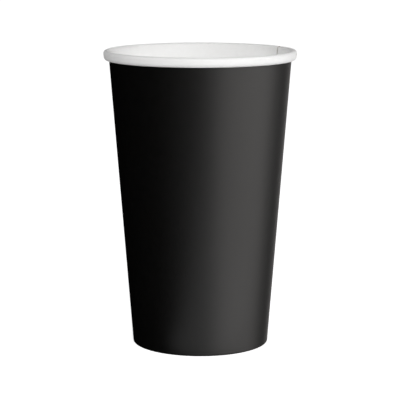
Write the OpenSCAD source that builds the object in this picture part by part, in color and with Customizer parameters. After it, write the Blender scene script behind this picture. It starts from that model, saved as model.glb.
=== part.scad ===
// Tall paper cup: a wrapped and glued side wall with a rolled rim, and a glued-in base.
// Millimetres, +Z up. The origin is the centre of the circle that the cup stands on.

/* [Cup] */
// Height from the table to the top of the rim
cup_h = 138.3; // [110:0.1:160]
// Outside diameter across the rolled rim
rim_d = 90; // [82:0.1:98]
// Outside diameter across the folded foot
foot_d = 63.9; // [56:0.1:72]

/* [Board] */
// Thickness of the paperboard
board = 0.4; // [0.3:0.01:0.5]
// Glue line between two layers of board
glue = 0.05; // [0.03:0.01:0.08]

/* [Rolled rim] */
// Width of the roll, from the inside of the wall to its outermost line
roll_w = 2.75; // [2.4:0.05:3.2]
// Height of the roll, measured along the wall
roll_h = 4.4; // [4:0.1:5.4]
// Length of the raw edge that is tucked up inside the roll
roll_tuck = 1.2; // [0.6:0.1:1.4]
// Gap between the wall and the roll where it closes under the rim
roll_gap = 0.1; // [0.05:0.01:0.2]

/* [Foot] */
// Depth by which the fold is pressed flat to stand on
foot_press = 0.05; // [0.03:0.01:0.1]
// Distance from the hem's raw edge up to the underside of the base
hem_gap = 1.2; // [0.8:0.1:3]

/* [Base] */
// Height of the base's underside above the table
base_rise = 9; // [6:0.5:14]
// Hollow radius of the bend round the base's edge
base_bend = 0.4; // [0.3:0.05:0.8]

/* [Side seam] */
// Direction of the inner raw edge, counter-clockwise from +X
seam_angle = 30; // [0:1:360]
// Width of the glued overlap
lap_w = 8; // [5:0.5:11]
// Width over which the outer lap rises over the inner raw edge
lap_rise = 2; // [1:0.1:4]
// Width of the groove left beside the inner raw edge, at the rim
groove_w = 0.25; // [0.15:0.05:0.4]
// Depth of that groove
groove_d = 0.2; // [0.1:0.01:0.25]

/* [Hidden] */
$fn = 128;
// Straight steps in the section of each bend, by half a turn
bend_steps = 12;

wall_color = [0.1, 0.1, 0.1];
base_color = [0.93, 0.93, 0.92];

// The foot's fold turns round the base's skirt and its two glue lines
fold_in = board / 2 + glue;
fold_out = fold_in + board;
fold_c = [foot_d / 2 - fold_out, fold_out - foot_press];

// The roll's upper bend, its lower bend, and the straight run between them
top_r = roll_w / 2;
low_r = (roll_w - board - roll_gap) / 2;
roll_run = roll_h - top_r - low_r;
top_c = [rim_d / 2 - top_r, cup_h - top_r];

// The wall touches the fold on its outside and the upper bend on its inside: this sets its
// lean and its length
span = top_c - fold_c;
shift = fold_in + top_r;
lean = atan2(span.x, span.y) - asin(shift / norm(span));
wall_len = sqrt(span * span - shift * shift);
across = [cos(lean), -sin(lean)];
along = [sin(lean), cos(lean)];
low_c = top_c + across * (top_r - low_r) - along * roll_run;

// The hem ends below the base, and the outer lap ends below the roll
hem_len = (base_rise - hem_gap - fold_c.y - fold_out * sin(lean)) / cos(lean);
lap_len = wall_len + top_r - roll_h - roll_gap;

// The base's skirt stands in the middle of the fold and bends in to a flat disc
edge_z = base_rise - base_bend;
edge_r = fold_c.x + (edge_z - fold_c.y) * tan(lean) - (board / 2 + base_bend) / cos(lean);

function reversed(line) = [for (i = [len(line) - 1 : -1 : 0]) line[i]];

// Points round a bend, from one direction to another
function bend(centre, radius, from, to) =
  let (steps = ceil(abs(to - from) / 180 * bend_steps))
  [for (i = [0 : steps])
    let (a = from + (to - from) * i / steps)
    centre + radius * [cos(a), sin(a)]];

// A point on the wall, by its depth under the white inner face and its distance up the wall
function on_wall(depth, up) = fold_c + across * (fold_in + depth) + along * up;

// The line that the sheet follows at some depth under its white face: over the rim
function rim_line(depth) = bend(top_c, top_r - depth, 180 - lean, -lean);

// The same from the hem's raw edge, round the foot, up the wall and round the roll
function sheet_line(depth) = concat(
  [fold_c - across * (fold_in + depth) + along * hem_len],
  bend(fold_c, fold_in + depth, 180 - lean, 360 - lean),
  rim_line(depth),
  bend(low_c, low_r - depth, -lean, -180 - lean),
  [low_c - across * (low_r - depth) + along * roll_tuck]
);

// The groove's line, from just above the base, up the wall and over the rim
function groove_line(depth) = concat(
  [on_wall(depth, base_rise + 2 * board)],
  rim_line(depth),
  [top_c + across * (top_r - depth) - along * roll_run]
);

// The board between two such lines
module between(line_a, line_b) {
  polygon(concat(line_a, reversed(line_b)));
}

// The wrapped sheet cut through, with its fold pressed flat on the table
module sheet_section() {
  difference() {
    between(sheet_line(0), sheet_line(board));
    translate([0, -fold_out]) square([foot_d, fold_out]);
  }
}

// The base cut through, from its middle out to its edge and down the skirt
module base_section() {
  between(
    concat([[0, base_rise + board]],
      bend([edge_r, edge_z], base_bend + board, 90, -lean), [fold_c + across * board / 2]),
    concat([[0, base_rise]],
      bend([edge_r, edge_z], base_bend, 90, -lean), [fold_c - across * board / 2])
  );
}

// The outer lap of the seam, square at its raw edge and rising over the inner one
module outer_lap() {
  reach = 2 * asin((lap_w + lap_rise) / foot_d);
  outer_face = fold_in + 2 * board;
  intersection() {
    rotate_extrude(angle = 2 * reach, start = seam_angle - reach) between(
      [on_wall(board / 2, 0), on_wall(board / 2, lap_len)],
      [on_wall(2 * board, 0), on_wall(2 * board, lap_len)]
    );
    rotate(seam_angle) translate([fold_c.x, 0, 0]) rotate([0, lean, 0])
      linear_extrude(wall_len) polygon([
        [-lap_w, lap_w],
        [outer_face + board, lap_w],
        [outer_face + board, lap_rise],
        [outer_face, 0],
        [outer_face - 1.5 * board, -lap_rise],
        [-lap_w, -lap_rise]
      ]);
  }
}

// The groove beside the inner raw edge, up the inside of the wall and over the roll
module seam_groove() {
  reach = 2 * asin(groove_w / rim_d);
  rotate_extrude(angle = reach, start = seam_angle - reach)
    between(groove_line(-board), groove_line(groove_d));
}

// The side wall: one sheet wrapped and glued, rolled outwards at the rim, folded in at the foot
module cup_wall() {
  color(wall_color) difference() {
    union() {
      rotate_extrude() sheet_section();
      outer_lap();
    }
    seam_groove();
  }
}

// The base: a flat disc with its edge bent down into the foot's fold
module cup_base() {
  color(base_color) rotate_extrude() base_section();
}

cup_wall();
cup_base();
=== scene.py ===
# Tall paper cup for hot drinks: black board outside, white inside, rolled rim, folded foot.
import math

import bmesh
import bpy
from mathutils import Matrix, Vector


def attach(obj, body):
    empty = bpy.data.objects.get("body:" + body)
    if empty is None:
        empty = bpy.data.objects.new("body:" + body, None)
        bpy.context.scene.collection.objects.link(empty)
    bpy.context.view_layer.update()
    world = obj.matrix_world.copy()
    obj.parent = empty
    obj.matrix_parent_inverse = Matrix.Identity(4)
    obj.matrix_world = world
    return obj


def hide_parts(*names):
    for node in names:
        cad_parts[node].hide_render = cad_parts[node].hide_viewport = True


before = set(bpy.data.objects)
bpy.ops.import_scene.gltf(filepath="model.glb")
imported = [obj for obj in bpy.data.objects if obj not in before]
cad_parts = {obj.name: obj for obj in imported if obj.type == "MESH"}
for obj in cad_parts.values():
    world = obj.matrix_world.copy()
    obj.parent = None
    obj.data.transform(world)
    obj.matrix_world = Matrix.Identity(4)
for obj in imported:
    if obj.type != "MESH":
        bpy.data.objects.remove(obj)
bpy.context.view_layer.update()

mm = 0.001
origin = (0, 0, 0)
upAxis = (0, 0, 1)
sideAxis = (0, 1, 0)
smoothAngle = 40  # degrees; a sharper edge stays an edge
mergeWithin = 0.005 * mm
warmWhite = (1, 0.975, 0.955)


def startLine(bm, x, z):
    # a line is drawn in the XZ plane from one end vertex, in millimetres
    return bm.verts.new((x * mm, 0, z * mm))


def drawOn(bm, end, across, along, steps):
    for step in range(steps):
        end = bmesh.ops.extrude_vert_indiv(bm, verts=[end])["verts"][0]
        bmesh.ops.translate(bm, verts=[end], vec=(across * mm / steps, 0, along * mm / steps))
    return end


def bendRound(bm, end, across, along, angle, steps):
    # the centre is given from the end vertex, and a positive angle turns up, over and down
    centre = end.co + Vector((across * mm, 0, along * mm))
    bent = bmesh.ops.spin(bm, geom=[end], cent=centre, axis=sideAxis,
                          angle=math.radians(angle), steps=steps)
    return vertsOf(bent["geom_last"])[0]


def vertsOf(geometry):
    return [part for part in geometry if isinstance(part, bmesh.types.BMVert)]


def leanAndPlace(bm, lean, centre):
    bmesh.ops.rotate(bm, verts=bm.verts, cent=origin,
                     matrix=Matrix.Rotation(math.radians(lean), 3, "Y"))
    bmesh.ops.translate(bm, verts=bm.verts, vec=(centre[0] * mm, 0, centre[1] * mm))


def ease(value):
    value = min(max(value, 0), 1)
    return value * value * (3 - 2 * value)


def newPiece(name, bm, materials):
    mesh = bpy.data.meshes.new(name)
    bm.to_mesh(mesh)
    bm.free()
    for material in materials:
        mesh.materials.append(material)
    piece = bpy.data.objects.new(name, mesh)
    bpy.context.scene.collection.objects.link(piece)
    return piece


def smooth(mesh):
    mesh.shade_smooth()
    mesh.set_sharp_from_angle(angle=math.radians(smoothAngle))


def newMaterial(name):
    material = bpy.data.materials.new(name)
    material.use_nodes = True
    tree = material.node_tree
    return material, tree, tree.nodes["Principled BSDF"]


def addNode(tree, kind, settings=None, **values):
    node = tree.nodes.new(kind)
    for key, value in (settings or {}).items():
        setattr(node, key, value)
    for key, value in values.items():
        node.inputs[key].default_value = value
    return node


def grain(tree, size, detail=3.0, stretch=(1, 1, 1)):
    # noise on Object coordinates, its grain given in millimetres
    place = addNode(tree, "ShaderNodeTexCoord")
    mapping = addNode(tree, "ShaderNodeMapping")
    mapping.inputs["Scale"].default_value = stretch
    noise = addNode(tree, "ShaderNodeTexNoise", Scale=1 / (size * mm), Detail=detail,
                    Roughness=0.5)
    tree.links.new(place.outputs["Object"], mapping.inputs["Vector"])
    tree.links.new(mapping.outputs["Vector"], noise.inputs["Vector"])
    return noise.outputs["Fac"]


def spread(tree, source, low, high, fromLow=0.3, fromHigh=0.7):
    # brings a value into a range: noise lies between 0.3 and 0.7 nearly everywhere
    node = addNode(tree, "ShaderNodeMapRange")
    node.inputs["From Min"].default_value = fromLow
    node.inputs["From Max"].default_value = fromHigh
    node.inputs["To Min"].default_value = low
    node.inputs["To Max"].default_value = high
    tree.links.new(source, node.inputs["Value"])
    return node.outputs["Result"]


def blendColors(tree, source, first, second):
    node = addNode(tree, "ShaderNodeMix", {"data_type": "RGBA"})
    node.inputs["A"].default_value = (*first, 1)
    node.inputs["B"].default_value = (*second, 1)
    tree.links.new(source, node.inputs["Factor"])
    return node.outputs["Result"]


def addBump(tree, shader, source, depth):
    node = addNode(tree, "ShaderNodeBump", Strength=1.0, Distance=depth * mm)
    tree.links.new(source, node.inputs["Height"])
    tree.links.new(node.outputs["Normal"], shader.inputs["Normal"])


def boardMaterial(look):
    # paperboard: cloudy fibres in the colour, a fine tooth in the surface, an uneven sheen
    material, tree, shader = newMaterial(look["name"])
    clouds = spread(tree, grain(tree, look["cloudSize"]), 0, 1)
    fibres = grain(tree, look["fibreSize"], detail=5.0, stretch=look["fibreStretch"])
    color = blendColors(tree, clouds, look["colorLow"], look["colorHigh"])
    tree.links.new(color, shader.inputs["Base Color"])
    sheen = spread(tree, fibres, *look["roughness"])
    tree.links.new(sheen, shader.inputs["Roughness"])
    shader.inputs["Specular IOR Level"].default_value = look["specular"]
    addBump(tree, shader, fibres, look["tooth"])
    return material


# sizes and tooth in millimetres; fibres run along the axis with the smallest stretch
blackPrint = boardMaterial({
    "name": "black_print",
    "colorLow": (0.0014, 0.0013, 0.0012),
    "colorHigh": (0.0022, 0.002, 0.0019),
    "cloudSize": 3.0,
    "fibreSize": 0.35,
    "fibreStretch": (1, 1, 0.4),
    "roughness": (0.44, 0.5),
    "specular": 0.5,
    "tooth": 0.004,
})
whiteBoard = boardMaterial({
    "name": "white_coated_board",
    "colorLow": (0.91, 0.907, 0.9),
    "colorHigh": (0.928, 0.926, 0.92),
    "cloudSize": 2.2,
    "fibreSize": 0.4,
    "fibreStretch": (1, 1, 0.5),
    "roughness": (0.42, 0.52),
    "specular": 0.22,
    "tooth": 0.006,
})
# raw board edge: its colour is set darker than a clean cut edge of white board, partly as
# painted shade for the dark line beside the inner seam
rawEdgeAndShade = boardMaterial({
    "name": "raw_board_edge_and_shade",
    "colorLow": (0.42, 0.395, 0.36),
    "colorHigh": (0.56, 0.53, 0.49),
    "cloudSize": 0.5,
    "fibreSize": 0.15,
    "fibreStretch": (1, 1, 0.3),
    "roughness": (0.8, 0.95),
    "specular": 0.2,
    "tooth": 0.02,
})
plainBoard = boardMaterial({
    "name": "uncoated_white_board",
    "colorLow": (0.72, 0.705, 0.68),
    "colorHigh": (0.8, 0.79, 0.77),
    "cloudSize": 1.6,
    "fibreSize": 0.3,
    "fibreStretch": (1, 0.6, 1),
    "roughness": (0.7, 0.85),
    "specular": 0.25,
    "tooth": 0.012,
})
print("materials made")


sideWall = {  # lengths in millimetres, bends and lengths measured on the white side
    "foldCentre": (31.3, 0.6),  # radius and height of the line that the foot is folded round
    "lean": 4.4858,  # degrees that the wall leans outwards
    "board": 0.4,
    "foldRadius": 0.25,
    "hemLength": 7.171,
    "wallLength": 136.871,
    "footSpan": 5,  # ends of the wall that are drawn in finer steps
    "rimSpan": 10,
    "rollTop": 1.375,  # radius of the roll's upper bend
    "rollRun": 1.25,  # straight part of its outer side
    "rollLow": 1.125,  # half the width of its lower bend
    "rollDrop": 1.775,  # height of that bend
    "rollTuck": 0.9,  # raw edge that stands up inside the roll
    "seamAngle": 30,  # inner raw edge, counter-clockwise from +X
    "seamRise": 2.6,  # over which the outer lap climbs on to the inner one
    "lapWidth": 8,
    "lapFade": 2,  # over which the pressing of the inner layer ends behind the lap
    "glue": 0.02,
    "groove": 0.6,  # left open beside the inner raw edge
    "grooveShoulder": 0.3,  # share of it in which the white side drops
    "grooveEnd": (136.7, 137.5),  # heights between which it opens out into the roll's nick
    "rimRadius": 44,  # where the seam's widths are measured
    "pressedInner": 0.82,  # shares of the board's thickness left where the seam is pressed
    "pressedOuter": 0.25,
    "pressedFoot": (1.2, 4.0),  # heights between which the pressing fades
    "pressedRim": (129.0, 132.6),
    "hemSteps": 6,
    "foldSteps": 14,
    "footSteps": 6,
    "wallSteps": 16,
    "rimSteps": 16,
    "bendSteps": 20,
    "shortSteps": 2,  # the roll's straight run and its tucked edge
    "turnSteps": 264,
    "riseSteps": 8,
    "grooveSteps": 2,
    "lapSteps": 8,
}


def sheetLine(bm, wall):
    # white side of the sheet: hem, foot, wall, roll, tucked raw edge
    end = startLine(bm, -wall["foldRadius"], wall["hemLength"])
    end = drawOn(bm, end, 0, -wall["hemLength"], wall["hemSteps"])
    end = bendRound(bm, end, wall["foldRadius"], 0, -180, wall["foldSteps"])
    middle = wall["wallLength"] - (wall["footSpan"] + wall["rimSpan"])
    end = drawOn(bm, end, 0, wall["footSpan"], wall["footSteps"])
    end = drawOn(bm, end, 0, middle, wall["wallSteps"])
    end = drawOn(bm, end, 0, wall["rimSpan"], wall["rimSteps"])
    end = bendRound(bm, end, wall["rollTop"], 0, 180, wall["bendSteps"])
    end = drawOn(bm, end, 0, -wall["rollRun"], wall["shortSteps"])
    drawn = set(bm.verts)
    start = end.co.copy()
    end = bendRound(bm, end, -wall["rollLow"], 0, 180, wall["bendSteps"])
    bmesh.ops.scale(bm, verts=[vert for vert in bm.verts if vert not in drawn],
                    vec=(1, 1, wall["rollDrop"] / wall["rollLow"]),
                    space=Matrix.Translation(-start))
    drawOn(bm, end, 0, wall["rollTuck"], wall["shortSteps"])
    leanAndPlace(bm, wall["lean"], wall["foldCentre"])


def fade(vert, heights):
    # from 0 at the first height to 1 at the second
    return ease((vert.co.z / mm - heights[0]) / (heights[1] - heights[0]))


def shareLeft(wall, vert, pressed):
    # 1 where a layer of the seam keeps its thickness, less in the roll and the foot
    free = fade(vert, wall["pressedFoot"]) * (1 - fade(vert, wall["pressedRim"]))
    return pressed + (1 - pressed) * free


def windSheet(bm, wall):
    # one full turn from the inner raw edge, then up over that edge, then the outer lap;
    # each column of the last part is kept with its distance before that edge
    bmesh.ops.rotate(bm, verts=bm.verts, cent=origin,
                     matrix=Matrix.Rotation(math.radians(wall["seamAngle"]), 3, "Z"))
    rise = wall["seamRise"] / wall["rimRadius"]
    turn = bmesh.ops.spin(bm, geom=bm.verts[:] + bm.edges[:], cent=origin, axis=upAxis,
                          angle=2 * math.pi - rise, steps=wall["turnSteps"])
    inner = set(bm.verts)
    last = turn["geom_last"]
    columns = [(wall["seamRise"], vertsOf(last))]
    shoulder = wall["groove"] * wall["grooveShoulder"]
    for stretch, steps in ((wall["seamRise"] - wall["groove"], wall["riseSteps"]),
                           (shoulder, 1), (wall["groove"] - shoulder, wall["grooveSteps"]),
                           (wall["lapWidth"], wall["lapSteps"])):
        for step in range(steps):
            last = bmesh.ops.spin(bm, geom=last, cent=origin, axis=upAxis, steps=1,
                                  angle=stretch / steps / wall["rimRadius"])["geom_last"]
            columns.append((columns[-1][0] - stretch / steps, vertsOf(last)))
    return inner, columns


def layTheSeam(bm, wall, inner, columns):
    # sets each vertex's share of the board's thickness and moves the outer lap on to the inner
    bmesh.ops.recalc_face_normals(bm, faces=bm.faces)
    probe = max(bm.verts, key=lambda vert: vert.co.z)
    if probe.normal.z < 0:
        bmesh.ops.reverse_faces(bm, faces=bm.faces)
    bm.normal_update()
    bm.verts.index_update()
    thickness = bm.verts.layers.deform.active
    seam = math.radians(wall["seamAngle"])
    for vert in inner:
        radius = math.hypot(vert.co.x, vert.co.y)
        behind = (math.atan2(vert.co.y, vert.co.x) - seam) % (2 * math.pi) * radius / mm
        under = 1 - ease((behind - wall["lapWidth"]) / wall["lapFade"])
        vert[thickness][0] = 1 - (1 - shareLeft(wall, vert, wall["pressedInner"])) * under
    step = wall["board"] + 2 * wall["glue"]
    flush = wall["groove"] * (1 - wall["grooveShoulder"] / 2)
    filled = {}
    for along, verts in columns:
        climb = ease(1 - along / wall["seamRise"])
        for vert in verts:
            radius = math.hypot(vert.co.x, vert.co.y) / mm
            outer = shareLeft(wall, vert, wall["pressedOuter"])
            sink = vert.normal * step * shareLeft(wall, vert, wall["pressedInner"]) * climb * mm
            if along > flush:
                filled[vert.index] = sink * (1 - fade(vert, wall["grooveEnd"]))
            vert[thickness][0] = 1 - (1 - outer) * climb
            vert.co -= sink
            slide = max(-along, 0) * (1 / radius - 1 / wall["rimRadius"])
            vert.co = Matrix.Rotation(slide, 3, "Z") @ vert.co
    return filled


def buildSideWall(wall):
    bm = bmesh.new()
    bm.verts.layers.deform.new()
    sheetLine(bm, wall)
    inner, columns = windSheet(bm, wall)
    filled = layTheSeam(bm, wall, inner, columns)
    piece = newPiece("wrapped_wall", bm, [whiteBoard, blackPrint, rawEdgeAndShade])
    piece.vertex_groups.new(name="thickness")
    board = piece.modifiers.new("board", "SOLIDIFY")
    board.thickness = wall["board"] * mm
    board.offset = -1
    board.use_even_offset = True
    board.vertex_group = "thickness"
    board.material_offset = 1
    board.material_offset_rim = 2
    shaped = bpy.data.meshes.new_from_object(piece.evaluated_get(
        bpy.context.evaluated_depsgraph_get()))
    piece.modifiers.clear()
    piece.vertex_groups.clear()
    piece.data = shaped
    for index, sink in filled.items():  # the white side stays flush up to the groove
        shaped.vertices[index].co += sink
    for vert in shaped.vertices:  # the foot is pressed flat on the table
        vert.co.z = max(vert.co.z, 0)
    smooth(shaped)
    return piece


wrappedWall = buildSideWall(sideWall)
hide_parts("cup_wall")
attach(wrappedWall, "root")
print("side wall made")


base = {  # lengths in millimetres
    "board": 0.4,
    "top": 9.4,  # height of its white upper face
    "edgeCentre": (31.326, 8.6),  # radius and height of the bend at its edge
    "edgeRadius": 0.8,
    "skirt": 8.0,
    "lean": 4.4858,  # degrees, as the wall's
    "rings": 12,
    "bendSteps": 8,
    "skirtSteps": 4,
    "turnSteps": 192,
}


def buildBase(base):
    # drawn from the middle out to the edge, down the bend and down the skirt
    bm = bmesh.new()
    end = startLine(bm, 0, base["top"])
    end = drawOn(bm, end, base["edgeCentre"][0], 0, base["rings"])
    end = bendRound(bm, end, 0, -base["edgeRadius"], 90 + base["lean"], base["bendSteps"])
    lean = math.radians(base["lean"])
    drawOn(bm, end, -base["skirt"] * math.sin(lean), -base["skirt"] * math.cos(lean),
           base["skirtSteps"])
    bmesh.ops.spin(bm, geom=bm.verts[:] + bm.edges[:], cent=origin, axis=upAxis,
                   angle=2 * math.pi, steps=base["turnSteps"], use_merge=True)
    bmesh.ops.remove_doubles(bm, verts=bm.verts, dist=mergeWithin)
    bmesh.ops.recalc_face_normals(bm, faces=bm.faces)
    middle = min(bm.verts, key=lambda vert: vert.co.xy.length)
    if middle.normal.z < 0:
        bmesh.ops.reverse_faces(bm, faces=bm.faces)
    piece = newPiece("glued_base", bm, [whiteBoard, plainBoard, rawEdgeAndShade])
    board = piece.modifiers.new("board", "SOLIDIFY")
    board.thickness = base["board"] * mm
    board.offset = -1
    board.use_even_offset = True
    board.material_offset = 1
    board.material_offset_rim = 2
    smooth(piece.data)
    return piece


gluedBase = buildBase(base)
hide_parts("cup_base")
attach(gluedBase, "root")
print("base made")


studio = {  # lengths in metres
    "floorSize": 30,
    "floorDrop": 0.00001,  # below the table's height, so that the foot stays in view
    "floorColor": (0.93, 0.93, 0.93),
    "floorShade": 0.985,  # the darkest of its colour
    "floorGrain": 40.0,  # millimetres
    "floorGlow": 0.74,
    "skyAbove": 0.34,
    "skyBelow": 0.26,
    "horizon": 0.1,  # half the height over which the sky changes
    "aim": (0, 0, 0.0675),
    "distance": 0.8,
    "elevation": 9.72,  # degrees
    "lens": 152.73,
    "sensor": 36,
    "shiftX": -0.00078,
    "nearest": 0.01,
    "farthest": 100,
}
# angles in degrees, to the right of the camera and up from the table; power in watts
matteLamps = [  # they light all but the sheen
    {"name": "softbox", "azimuth": 18, "elevation": 14, "distance": 1.2,
     "size": (0.8, 0.8), "power": 10.8},
    {"name": "top_light", "azimuth": 0, "elevation": 86, "distance": 1.0,
     "size": (0.35, 0.35), "power": 0.2},
    {"name": "inside_glow", "azimuth": 0, "elevation": 90, "distance": 0.07,  # in the mouth
     "size": (0.055, 0.055), "power": 0.0072},
    {"name": "side_fill", "azimuth": 115, "elevation": -12, "distance": 1.0,
     "size": (0.5, 0.3), "power": 3.0},
    {"name": "left_fill", "azimuth": -104, "elevation": 5, "distance": 1.2,
     "size": (0.8, 0.4), "power": 3.2},
]
sheenLamps = [  # they are only mirrored
    {"name": "sheen_panel", "azimuth": 62, "elevation": 8, "distance": 1.0,
     "size": (1.85, 1.6), "power": 19.5, "color": warmWhite},
    {"name": "back_panel", "azimuth": 140, "elevation": 8, "distance": 1.0,
     "size": (0.9, 1.6), "power": 0.5, "color": warmWhite},
    {"name": "rear_panel", "azimuth": 166, "elevation": 8, "distance": 1.0,
     "size": (0.6, 1.6), "power": 2.6, "color": warmWhite},
    {"name": "front_panel", "azimuth": -12, "elevation": -24, "distance": 1.0,
     "size": (1.0, 0.5), "power": 0.22},
    {"name": "table_glow", "azimuth": 16, "elevation": -26, "distance": 0.16,
     "size": (0.14, 0.2), "power": 0.05, "faceUp": True},
]


def buildFloor(studio):
    material, tree, shader = newMaterial("pale_floor")
    color = studio["floorColor"]
    tint = blendColors(tree, grain(tree, studio["floorGrain"]), color,
                       [studio["floorShade"] * part for part in color])
    tree.links.new(tint, shader.inputs["Base Color"])
    shader.inputs["Roughness"].default_value = 1
    shader.inputs["Specular IOR Level"].default_value = 0
    shader.inputs["Emission Color"].default_value = (1, 1, 1, 1)
    shader.inputs["Emission Strength"].default_value = studio["floorGlow"]
    bm = bmesh.new()
    bmesh.ops.create_grid(bm, x_segments=1, y_segments=1, size=studio["floorSize"])
    bmesh.ops.translate(bm, verts=bm.verts, vec=(0, 0, -studio["floorDrop"]))
    floor = newPiece("floor", bm, [material])
    floor.visible_glossy = False  # the cup mirrors no floor and takes no light from it
    floor.visible_diffuse = False
    floor.visible_shadow = False


def towards(azimuth, elevation):
    turn, rise = math.radians(azimuth), math.radians(elevation)
    return Vector((math.sin(turn) * math.cos(rise), -math.cos(turn) * math.cos(rise),
                   math.sin(rise)))


def buildSky(studio):
    world = bpy.data.worlds.new("studio")
    world.use_nodes = True
    tree = world.node_tree
    place = addNode(tree, "ShaderNodeTexCoord")
    split = addNode(tree, "ShaderNodeSeparateXYZ")
    tree.links.new(place.outputs["Generated"], split.inputs["Vector"])
    level = spread(tree, split.outputs["Z"], studio["skyBelow"], studio["skyAbove"],
                   -studio["horizon"], studio["horizon"])
    tree.links.new(level, tree.nodes["Background"].inputs["Strength"])
    tree.nodes["Background"].inputs["Color"].default_value = (1, 1, 1, 1)
    world.cycles_visibility.glossy = False
    bpy.context.scene.world = world


def buildLamps(studio, lamps, mirrored):
    for lamp in lamps:
        light = bpy.data.lights.new(lamp["name"], "AREA")
        light.shape = "RECTANGLE"
        light.size, light.size_y = lamp["size"]
        light.energy = lamp["power"]
        light.color = lamp.get("color", (1, 1, 1))
        holder = bpy.data.objects.new(lamp["name"], light)
        away = towards(lamp["azimuth"], lamp["elevation"])
        holder.location = Vector(studio["aim"]) + away * lamp["distance"]
        if lamp.get("faceUp"):
            holder.rotation_euler = (math.pi, 0, 0)
        else:
            holder.rotation_euler = away.to_track_quat("Z", "Y").to_euler()
        holder.visible_camera = False
        holder.visible_diffuse = not mirrored
        holder.visible_glossy = mirrored
        bpy.context.scene.collection.objects.link(holder)


def buildCamera(studio):
    lens = bpy.data.cameras.new("camera")
    lens.lens = studio["lens"]
    lens.sensor_width = studio["sensor"]
    lens.shift_x = studio["shiftX"]
    lens.clip_start = studio["nearest"]
    lens.clip_end = studio["farthest"]
    camera = bpy.data.objects.new("camera", lens)
    away = towards(0, studio["elevation"])
    camera.location = Vector(studio["aim"]) + away * studio["distance"]
    camera.rotation_euler = away.to_track_quat("Z", "Y").to_euler()
    bpy.context.scene.collection.objects.link(camera)
    bpy.context.scene.camera = camera


buildFloor(studio)
buildSky(studio)
buildLamps(studio, matteLamps, mirrored=False)
buildLamps(studio, sheenLamps, mirrored=True)
buildCamera(studio)
bpy.context.scene.view_settings.view_transform = "Standard"
print("studio made")
